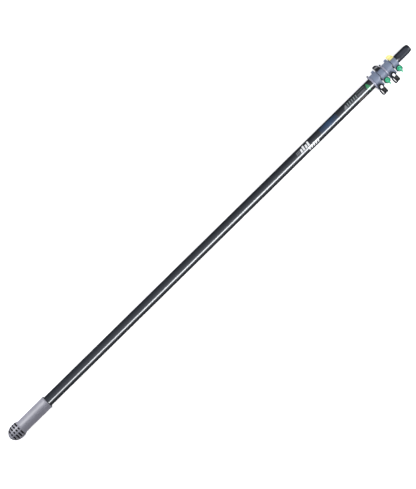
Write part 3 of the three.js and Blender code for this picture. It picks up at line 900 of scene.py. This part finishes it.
def tool_spigot():
    """Radius by station, turned, then |z| lowered towards the flat's height by the product of three
    soft edges: at both ends of the flat and at its sides."""
    barrel = np.linspace(SPIGOT_START + 1, TAPER_FROM, 60)
    taper = np.linspace(TAPER_FROM, LENGTH - NOSE_ROUND, 14)[1:]
    taper_r = SPIGOT_R + (NOSE_R - SPIGOT_R) * smooth_step((taper - TAPER_FROM) / (LENGTH - TAPER_FROM))
    turn = np.linspace(0, np.pi / 2, 12)[1:]
    nose = LENGTH - NOSE_ROUND * (1 - np.sin(turn))
    nose_r = taper_r[-1] - NOSE_ROUND * (1 - np.cos(turn))
    start = rounded(
        [(spigot_low[0], 0), (spigot_low[0], PLUG_R), (SPIGOT_START, PLUG_R), (SPIGOT_START, SPIGOT_R),
         (SPIGOT_START + 1, SPIGOT_R)],
        [0, 0.6, 0.05, 0.5, 0],
        closed=False,
    )
    profile = np.concatenate(
        [
            start,
            np.stack([barrel, np.full_like(barrel, SPIGOT_R)], axis=-1)[1:],
            np.stack([taper, taper_r], axis=-1),
            np.stack([nose, nose_r], axis=-1),
            [(LENGTH, 0)],
        ]
    )
    points = turned(profile, SPIGOT_SEGMENTS)
    x, y, z = np.moveaxis(points, -1, 0)
    inside = smooth_step((x - FLAT_FROM) / SOFT_EDGE) * smooth_step((FLAT_TO - x) / SOFT_EDGE)
    inside = inside * smooth_step((FLAT_HALF - np.abs(y)) / SOFT_EDGE)
    excess = np.maximum(np.abs(z) - (SPIGOT_R - FLAT_DEPTH), 0)
    flattened = np.sign(z) * (np.abs(z) - inside * excess)
    points = np.stack([x, y, flattened], axis=-1)
    faces = grid_faces(len(profile), SPIGOT_SEGMENTS)
    return new_piece("tool_spigot", points, faces, sharp_angle=50)


dress(tool_spigot(), spigot_nylon, "tip_section", ["tip_spigot"])
print("spigot", round(LENGTH - SPIGOT_START, 1), "mm long")

# %% [markdown]
# ## Two clamps
# A clamp is bonded to the mouth of one tube and grips the next. Its wide rear zone is squeezed by a
# lever on a cross bolt, its narrow front zone by a knob. Both clamps have the same pieces, one size
# apart, so one set of functions makes both. Their places are read from the clamp's own CAD nodes, and
# the sizes below that start at a clamp's rear face are in millimetres from it.

# %% Where each clamp's pieces are


class Clamp:
    """The places and radii that the pieces of clamp number k share, in pole coordinates."""

    def __init__(self, k, body, tube_r, slide_r):
        self.k = k
        self.body = body
        self.tube_r = tube_r
        self.wide_r = tube_r + 3.8
        self.lip_r = tube_r + 5.5
        self.narrow_r = slide_r + 3.6
        self.slide_r = slide_r
        self.start = limits(f"clamp_body_{k}")[0][0]
        self.end = limits(f"clamp_body_{k}")[1][0]
        self.hub = centre(f"cam_washer_{k}")
        self.knob = centre(f"knob_seat_{k}")
        self.lever = limits(f"lever_{k}")
        self.clip = limits(f"hose_clip_{k}")
        self.ear_top = limits(f"cam_washer_{k}")[0][2] - 0.3
        self.knob_ear_top = limits(f"knob_seat_{k}")[0][2] - 0.3
        self.lug_top = limits(f"clamp_body_{k}")[1][1]

    def x(self, local):
        """x of a point that many millimetres from the clamp's rear face."""
        return self.start + local

    def name(self, word):
        """Name of this clamp's copy of a piece."""
        return f"{word}_{self.k}"


clamps = [Clamp(1, "base_section", OUTER_R, MIDDLE_R), Clamp(2, "middle_section", MIDDLE_R, INNER_R)]
for clamp in clamps:
    print(f"clamp {clamp.k}: x {clamp.start:.0f} to {clamp.end:.0f} mm, hub at y {clamp.hub[1]:.1f}")

# %% [markdown]
# ## Clamp bodies
# The body is a split ring of grey nylon with a paler, smoother lip. Ears for the bolts stand out beside
# the split, so that closing the lever draws them together. A slot across it lets its two zones close on
# their own. It is fused from a turned barrel, two pairs of ears and two lugs, minus all the cuts.

# %% Barrel, ears, lugs and cuts
LIP_END = 5.0
WIDE_END = 30.0
STOP_FROM = 24.3
REAR_EAR = (3.0, 25.8, -31.0)
FRONT_EAR = (30.2, 49.0, -31.0)
RELIEF = (26.0, 30.0, -4.0)
SPLIT_HALF = 1.5
LUG = (20.5, 29.5, 5.5)
HUB_R, KNOB_EAR_R = 8.0, 8.0
FLANK_Z, FLANK_Y, FLANK_END = 15.2, -13.4, 21.0
PLAY, EASE = 0.3, 1.6
BOLT_HOLE_R, SCREW_HOLE_R, COLLAR_HOLE_R = 3.3, 2.3, 1.8
FAR = 40


def paler_lip_faces(piece, clamp):
    """The lip at the clamp's mouth is paler and a little smoother: its faces take a second material."""
    mesh = piece.data
    mesh.materials.append(lip_nylon)
    x, y, z = face_centres(mesh).T
    on_lip = (x < clamp.x(LIP_END + 0.2)) & (np.hypot(y, z) < clamp.lip_r + 0.3)
    mesh.polygons.foreach_set("material_index", on_lip.astype(np.int32))


def clamp_body(clamp):
    """A turned barrel with ears, eyes and lugs added. Bore, split, relief slot, flanks and holes are
    cut away, each a little past the surface it opens."""
    x = clamp.x
    barrel = rounded(
        [
            (x(0), clamp.tube_r + PLAY),
            (x(0), clamp.lip_r),
            (x(LIP_END), clamp.lip_r),
            (x(LIP_END), clamp.wide_r),
            (x(WIDE_END), clamp.wide_r),
            (x(WIDE_END), clamp.narrow_r),
            (clamp.end, clamp.narrow_r),
            (clamp.end, clamp.slide_r + EASE),
            (x(WIDE_END - 2), clamp.slide_r + EASE),
            (x(WIDE_END - 2), clamp.slide_r + PLAY),
            (x(STOP_FROM), clamp.slide_r + PLAY),
            (x(STOP_FROM), clamp.tube_r + PLAY),
        ],
        [0.4, 1.8, 1.4, 0.8, 1.2, 0.4, 1.2, 0.4, 0.1, 0.1, 0.1, 0.1],
        steps=6,
    )
    ear, front = clamp.ear_top, clamp.knob_ear_top
    rear_ear = rounded(rectangle(x(REAR_EAR[0]), x(REAR_EAR[1]), REAR_EAR[2], -12), 3)
    front_ear = rounded(rectangle(x(FRONT_EAR[0]), x(FRONT_EAR[1]), FRONT_EAR[2], -12), 3)
    lug_y = rounded(rectangle(clamp.wide_r - 3, clamp.lug_top, -LUG[2], LUG[2]), [0.1, 3.5, 3.5, 0.1])
    lug_z = rounded(rectangle(-LUG[2], LUG[2], -BULB_R, 3 - clamp.wide_r), [0.8, 0.8, 0.1, 0.1])
    hub, knob = clamp.hub[:2], clamp.knob[:2]
    added = [
        turned_solid(barrel, ring=True),
        slab(rear_ear, -ear, ear),
        rod(hub, HUB_R, -ear, ear),
        slab(front_ear, -front, front),
        rod(knob, KNOB_EAR_R, -front, front),
        slab(lug_y, x(LUG[0]), x(LUG[1]), "x"),
        slab(lug_z, x(LUG[0]), x(LUG[1]), "x"),
    ]
    bore = [
        (x(-1), 0),
        (x(-1), clamp.tube_r + PLAY),
        (x(STOP_FROM), clamp.tube_r + PLAY),
        (x(STOP_FROM), clamp.slide_r + PLAY),
        (x(WIDE_END - 2), clamp.slide_r + PLAY),
        (x(WIDE_END - 2), clamp.slide_r + EASE),
        (clamp.end + 1, clamp.slide_r + EASE),
        (clamp.end + 1, 0),
    ]
    after_lip = (LIP_END, LIP_END + 1.4, clamp.wide_r - 1.2)
    after_wide = (WIDE_END, WIDE_END + 1.8, clamp.narrow_r - 1)
    grooves = [
        [(x(a), r), (x(a), r + 6), (x(b), r + 6), (x(b), r)] for a, b, r in (after_lip, after_wide)
    ]
    saw_cut = box((x(WIDE_END), x(WIDE_END + 1.7)), (RELIEF[2] - 2, 14), (6, FAR))
    seat_r = limits(clamp.name("knob_seat"))[1][0] - clamp.knob[0] + PLAY
    whole = (x(-1), clamp.end + 1)
    flank = (x(-1), x(FLANK_END))
    screw_x = centre(clamp.name("collar_screw"))[0]
    removed = [
        turned_solid(bore),
        box(whole, (-60, -8), (-SPLIT_HALF, SPLIT_HALF)),
        box((x(RELIEF[0]), x(RELIEF[1])), (-60, RELIEF[2]), (-24, FAR)),
        box(flank, (-60, FLANK_Y), (FLANK_Z, FAR)),
        box(flank, (-60, FLANK_Y), (-FAR, -FLANK_Z)),
        rod(hub, BOLT_HOLE_R, -FAR, FAR),
        rod(knob, SCREW_HOLE_R, -FAR, FAR),
        rod(knob, seat_r, front, FAR),
        rod((0, screw_x), COLLAR_HOLE_R, clamp.tube_r - 1, FAR, "y"),
        saw_cut,
        *(turned_solid(step, ring=True) for step in grooves),
    ]
    piece = fused(clamp.name("moulded_clamp_body"), added, removed, cell=0.5, relax=3)
    dress(piece, clamp_nylon, clamp.body, [clamp.name("clamp_body")])
    paler_lip_faces(piece, clamp)


for clamp in clamps:
    clamp_body(clamp)

# %% [markdown]
# ## Levers
# The lever is a black paddle on an eye. It has a thick rounded rim, a long slit that makes it light and
# springy, three grip grooves and two lobes at its end for the thumb. All of it can be seen in plan, so
# it is fused from flat outlines: a full-height rim, a thinner web, and the cuts.

# %% Levers with slit and grooves
EYE_R = 9.3
RIM_INSET = 1.8
PADDLE_ROUND = 5.0
SLIT = (4.3, 6.9)
WEB_DROP = 1.4
GRIP_PITCH, GRIP_WIDTH, GRIP_DEPTH = 3.2, 1.3, 1.0


def lever(clamp):
    """A rounded paddle joined to an eye; the web inside the rim is lower than the rim."""
    low, high = clamp.lever
    x, y = clamp.hub[:2]
    left, right_side = low[0], high[0] - RIM_INSET
    bottom = low[1]
    base, top = low[2], high[2]
    paddle = rounded(rectangle(left, right_side, bottom, y - 5), PADDLE_ROUND, steps=8)
    recess = rounded(rectangle(left + SLIT[1] + 1.6, right_side - 2, bottom + 5, y - 11), 1.5)
    added = [
        slab(paddle, base, top),
        rod((x, y), EYE_R, base, top),
        rod((x, y), EYE_R - 2.4, base, top + 0.4),
    ]
    slit = rounded(rectangle(left + SLIT[0], left + SLIT[1], bottom + 3.6, y - 7), 1.1)
    notch_x = (left + SLIT[1] + right_side) / 2
    removed = [
        rod((x, y), BOLT_HOLE_R, base - 1, top + 2),
        slab(slit, base - 1, top + 1),
        slab(recess, top - WEB_DROP, top + 1),
        rod((notch_x, bottom - 2.2), 3.6, base - 1, top + 1),
    ]
    for i in range(3):
        across = (left + SLIT[1] + 2.6, right_side - 3)
        groove_y = bottom + 7 + GRIP_PITCH * i
        groove = rectangle(*across, groove_y, groove_y + GRIP_WIDTH)
        removed.append(slab(groove, top - WEB_DROP - GRIP_DEPTH, top + 1))
    piece = fused(clamp.name("clamp_lever"), added, removed, cell=0.3, relax=3)
    dress(piece, lever_nylon, clamp.name("lever"), [clamp.name("lever")])


for clamp in clamps:
    lever(clamp)

# %% [markdown]
# ## Bolts, screws and seats
# The lever's bolt has a bright domed head with a small hexagon socket. The knob's screw is moulded in
# the knob's green nylon, one size down. A head is a turned profile, which keeps its dome truly round,
# and its socket is a six-sided solid that is cut out of it.

# %% Lever bolts and knob screws
HEX = 6
SOCKET_DEPTH = 1.3
BOLT_SHANK_R, SCREW_SHANK_R = 3.0, 2.0
HEAD_OVER_LEVER = 0.6
SCREW_HEAD = 1.2


def socket_head(name, at, head_r, dome, shank_r, low, seat, top, socket_r, material, body, nodes):
    """A domed head, height = dome x (1 - (r / head)^2), on a shank, with a six-sided socket."""
    r = np.linspace(head_r, 0, 10)
    crown = np.stack([top - dome * (r / head_r) ** 2, r], axis=-1)
    profile = [(low, 0), (low, shank_r), (seat, shank_r), (seat, head_r - 0.2), (seat + 0.2, head_r)]
    head = turned_solid(np.concatenate([profile, crown]), at=at, axis="z", segments=64)
    key = slab(circle(*at, socket_r, HEX), top - SOCKET_DEPTH, top + 1)
    piece = fused(name, [head], [key], cell=0.25, relax=2)
    return dress(piece, material, body, nodes)


bolts = []
for clamp in clamps:
    low, high = limits(clamp.name("lever_bolt"))
    seat = clamp.lever[1][2] + HEAD_OVER_LEVER
    bolt = socket_head(
        clamp.name("lever_bolt_bright"), clamp.hub[:2], 4.8, 0.7, BOLT_SHANK_R, low[2], seat, high[2],
        1.3, bolt_steel, clamp.body, [clamp.name("lever_bolt")],
    )
    bolts.append(bolt)
    low, high = limits(clamp.name("knob_screw"))
    seat = high[2] - SCREW_HEAD
    socket_head(
        clamp.name("green_knob_screw"), clamp.knob[:2], 3.4, 0.5, SCREW_SHANK_R, low[2], seat, high[2],
        1.1, knob_nylon, clamp.body, [clamp.name("knob_screw")],
    )
light_linked(bolt_box, bolts, "INCLUDE")

# %% Seat rings and collar screws
for clamp in clamps:
    low, high = limits(clamp.name("knob_seat"))
    seat_r = high[0] - clamp.knob[0]
    hole_r = SCREW_HOLE_R
    ring = rounded([(low[2], hole_r), (low[2], seat_r), (high[2], seat_r), (high[2], hole_r)], 0.4)
    seat = turned_piece(clamp.name("knob_seat_ring"), ring, at=clamp.knob[:2], axis="z", ring=True)
    dress(seat, lever_nylon, clamp.body, [clamp.name("knob_seat")])
    low, high = limits(clamp.name("collar_screw"))
    x = (low[0] + high[0]) / 2
    neck, head_r = high[1] - 3.8, (high[0] - low[0]) / 2
    profile = rounded(
        [(low[1], 0), (low[1], 1.5), (neck, 1.5), (neck, head_r), (high[1], head_r), (high[1], 1.2),
         (high[1] - 1.6, 1.2), (high[1] - 1.6, 0)],
        [0, 0.2, 0.1, 0.3, 0.8, 0.15, 0.1, 0],
        closed=False,
    )
    screw = turned_piece(clamp.name("black_collar_screw"), profile, at=(0, x), axis="y", segments=48)
    dress(screw, lever_nylon, clamp.body, [clamp.name("collar_screw")])
print("seat rings and collar screws")

# %% [markdown]
# ## Green tension knobs
# The knob is a round green button with a raised rim and a tail to push it by. A quarter turn squeezes
# the clamp's front zone. The disc is turned, the tail is a rounded slab, and the two are fused, because
# the tail has to grow out of the disc without a seam.

# %% Tension knobs
KNOB_R = 8.0
TAIL_HALF = 2.5


def tension_knob(clamp):
    """Disc with a raised rim and a sunken ring, tail with two grip ridges, and the screw's hole."""
    low, high = limits(clamp.name("tension_knob"))
    x, y = clamp.knob[:2]
    base, top = low[2], high[2]
    disc = rounded(
        [(base, 0), (base, KNOB_R), (top, KNOB_R), (top, KNOB_R - 2.2), (top - 0.9, KNOB_R - 2.8),
         (top - 0.9, 4.2), (top, 3.8), (top, 0)],
        [0, 0.4, 0.7, 0.4, 0.2, 0.2, 0.3, 0],
        closed=False,
    )
    tail_box = rectangle(x - TAIL_HALF, x + TAIL_HALF, low[1], y - 5)
    tail = rounded(tail_box, [2.3, 2.3, 0.1, 0.1], steps=8)
    added = [turned_solid(disc, at=(x, y), axis="z", segments=64), slab(tail, base, top - 0.4)]
    added += [
        slab(rounded(rectangle(x - 1.9, x + 1.9, y0, y0 + 0.9), 0.3), base, top)
        for y0 in (low[1] + 1.8, low[1] + 3.8)
    ]
    screw_hole = rod((x, y), SCREW_HOLE_R, base - 1, top + 1)
    piece = fused(clamp.name("green_tension_knob"), added, [screw_hole], cell=0.3, relax=2)
    dress(piece, knob_nylon, clamp.name("tension_knob"), [clamp.name("tension_knob")])


for clamp in clamps:
    tension_knob(clamp)

# %% [markdown]
# ## Adjusting wheels
# On the far end of the lever's bolt sits a nut with finger lobes: turning it sets how hard the lever
# grips. Eight cuts would give it sharp ridges, so it is a turned ring whose rim is scalloped by a
# smooth formula: radius = r - depth x (1 + cos 8a)^2 / 4.

# %% Scalloped wheels
LOBES = 8
LOBE_DEPTH = 1.5
WHEEL_RIM_R = 9.0
WHEEL_SEGMENTS = 192


def adjusting_wheel(clamp):
    """Rows are the ring's profile, columns go round it; only the rim's rows are scalloped."""
    low, high = limits(clamp.name("adjusting_wheel"))
    rim, hole_r, segments = WHEEL_RIM_R, BOLT_HOLE_R, WHEEL_SEGMENTS
    outline = [(low[2], hole_r), (low[2], rim), (high[2], rim), (high[2], hole_r)]
    profile = rounded(outline, [0.4, 1.2, 1.2, 0.4])
    points = turned(profile, segments, at=(0, 0), axis="z")
    angle = np.linspace(0, 2 * np.pi, segments, endpoint=False)
    scallop = LOBE_DEPTH * ((1 + np.cos(LOBES * angle)) / 2) ** 2
    outer = smooth_step((profile[:, 1] - 4.5) / 3)[:, None]
    radius = np.hypot(points[..., 0], points[..., 1])
    shrink = 1 - outer * scallop / radius
    points = points * np.stack([shrink, shrink, np.ones_like(shrink)], axis=-1)
    points = points + np.array([clamp.hub[0], clamp.hub[1], 0])
    faces = grid_faces(len(profile), segments, closed_rows=True)
    wheel = new_piece(clamp.name("scalloped_wheel"), points, faces, sharp_angle=50)
    node = clamp.name("adjusting_wheel")
    dress(wheel, lever_nylon, node, [node])


for clamp in clamps:
    adjusting_wheel(clamp)
print("wheels")

# %% [markdown]
# ## Hose clips
# Each clamp carries a snap-in clip for the water hose: a saddle wrapped over the barrel, with a
# C-shaped channel on it that is cut down in a slope towards the tip. The first is black, the second
# yellow, so that a user can tell the sections apart. Channel and saddle are fused, then cut by one
# outline seen from above.

# %% Sloped clips
CHANNEL_R, CHANNEL_WALL = 4.1, 2.5
MOUTH = 5.0
SADDLE = 2.0
CREST, SLOPE_DROP = 9.0, 8.5
OVER = 9


def hose_clip(clamp, material, skirt):
    """Saddle ring and channel, with bore, mouth and all that lies past the side outline cut off. skirt
    is the y down to which the saddle reaches."""
    low, high = clamp.clip
    x0, x1, top = low[0], high[0], high[1]
    seat_r = clamp.narrow_r + PLAY
    outer_r = CHANNEL_R + CHANNEL_WALL
    y = top - outer_r + 0.5
    saddle = rounded([(x0, seat_r), (x0, seat_r + SADDLE), (x1, seat_r + SADDLE), (x1, seat_r)], 0.5)
    side_cut = [
        (x0 - 1, top + OVER),
        (x1 + 1, top + OVER),
        (x1 + 1, top - SLOPE_DROP),
        (x0 + CREST, top),
        (x0 - 1, top),
    ]
    added = [
        turned_solid(saddle, ring=True),
        rod((y, 0), outer_r, x0, x1, "x"),
        box((x0, x1), (seat_r - 1, y), (-4, 4)),
    ]
    removed = [
        turned_solid([(x0 - 2, 0), (x0 - 2, seat_r), (x1 + 2, seat_r), (x1 + 2, 0)]),
        box((x0 - 2, x1 + 2), (-60, skirt), (-60, 60)),
        rod((y, 0), CHANNEL_R, x0 - 2, x1 + 2, "x"),
        box((x0 - 2, x1 + 2), (y, top + OVER), (-MOUTH / 2, MOUTH / 2)),
        slab(side_cut, -30, 30, "z"),
    ]
    piece = fused(clamp.name("sloped_hose_clip"), added, removed, cell=0.35, relax=3)
    dress(piece, material, clamp.body, [clamp.name("hose_clip")])


hose_clip(clamps[0], clip_black, 15.0)
hose_clip(clamps[1], clip_yellow, 11.5)

# %% [markdown]
# ## Hidden and plain parts
# Bushes, glide sleeves, nuts, washers, the spigot's pin and the base plug keep their CAD shapes. They
# only take their materials. The base plug is black nylon; its domed core in the bulb is kept matt and
# near-black, painted shade that shows behind the vents.

# %% Materials for the parts kept from CAD
kept = {
    "base_plug": plug_nylon_and_painted_shade,
    "middle_guide_bush": lever_nylon,
    "inner_guide_bush": lever_nylon,
    "spigot_pin": bolt_steel,
}
for clamp in clamps:
    kept[clamp.name("glide_sleeve")] = lever_nylon
    kept[clamp.name("cam_washer")] = bolt_steel
    kept[clamp.name("knob_nut")] = bolt_steel
for node_name, material in kept.items():
    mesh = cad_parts[node_name].data
    mesh.materials.clear()
    mesh.materials.append(material)
print(len(kept), "nodes keep their CAD shape")

# %% [markdown]
# The pole's CAD box is printed at the end.

# %% Print the CAD box and finish
print("cad box", [[round(v, 4) for v in c] for c in cad_box])
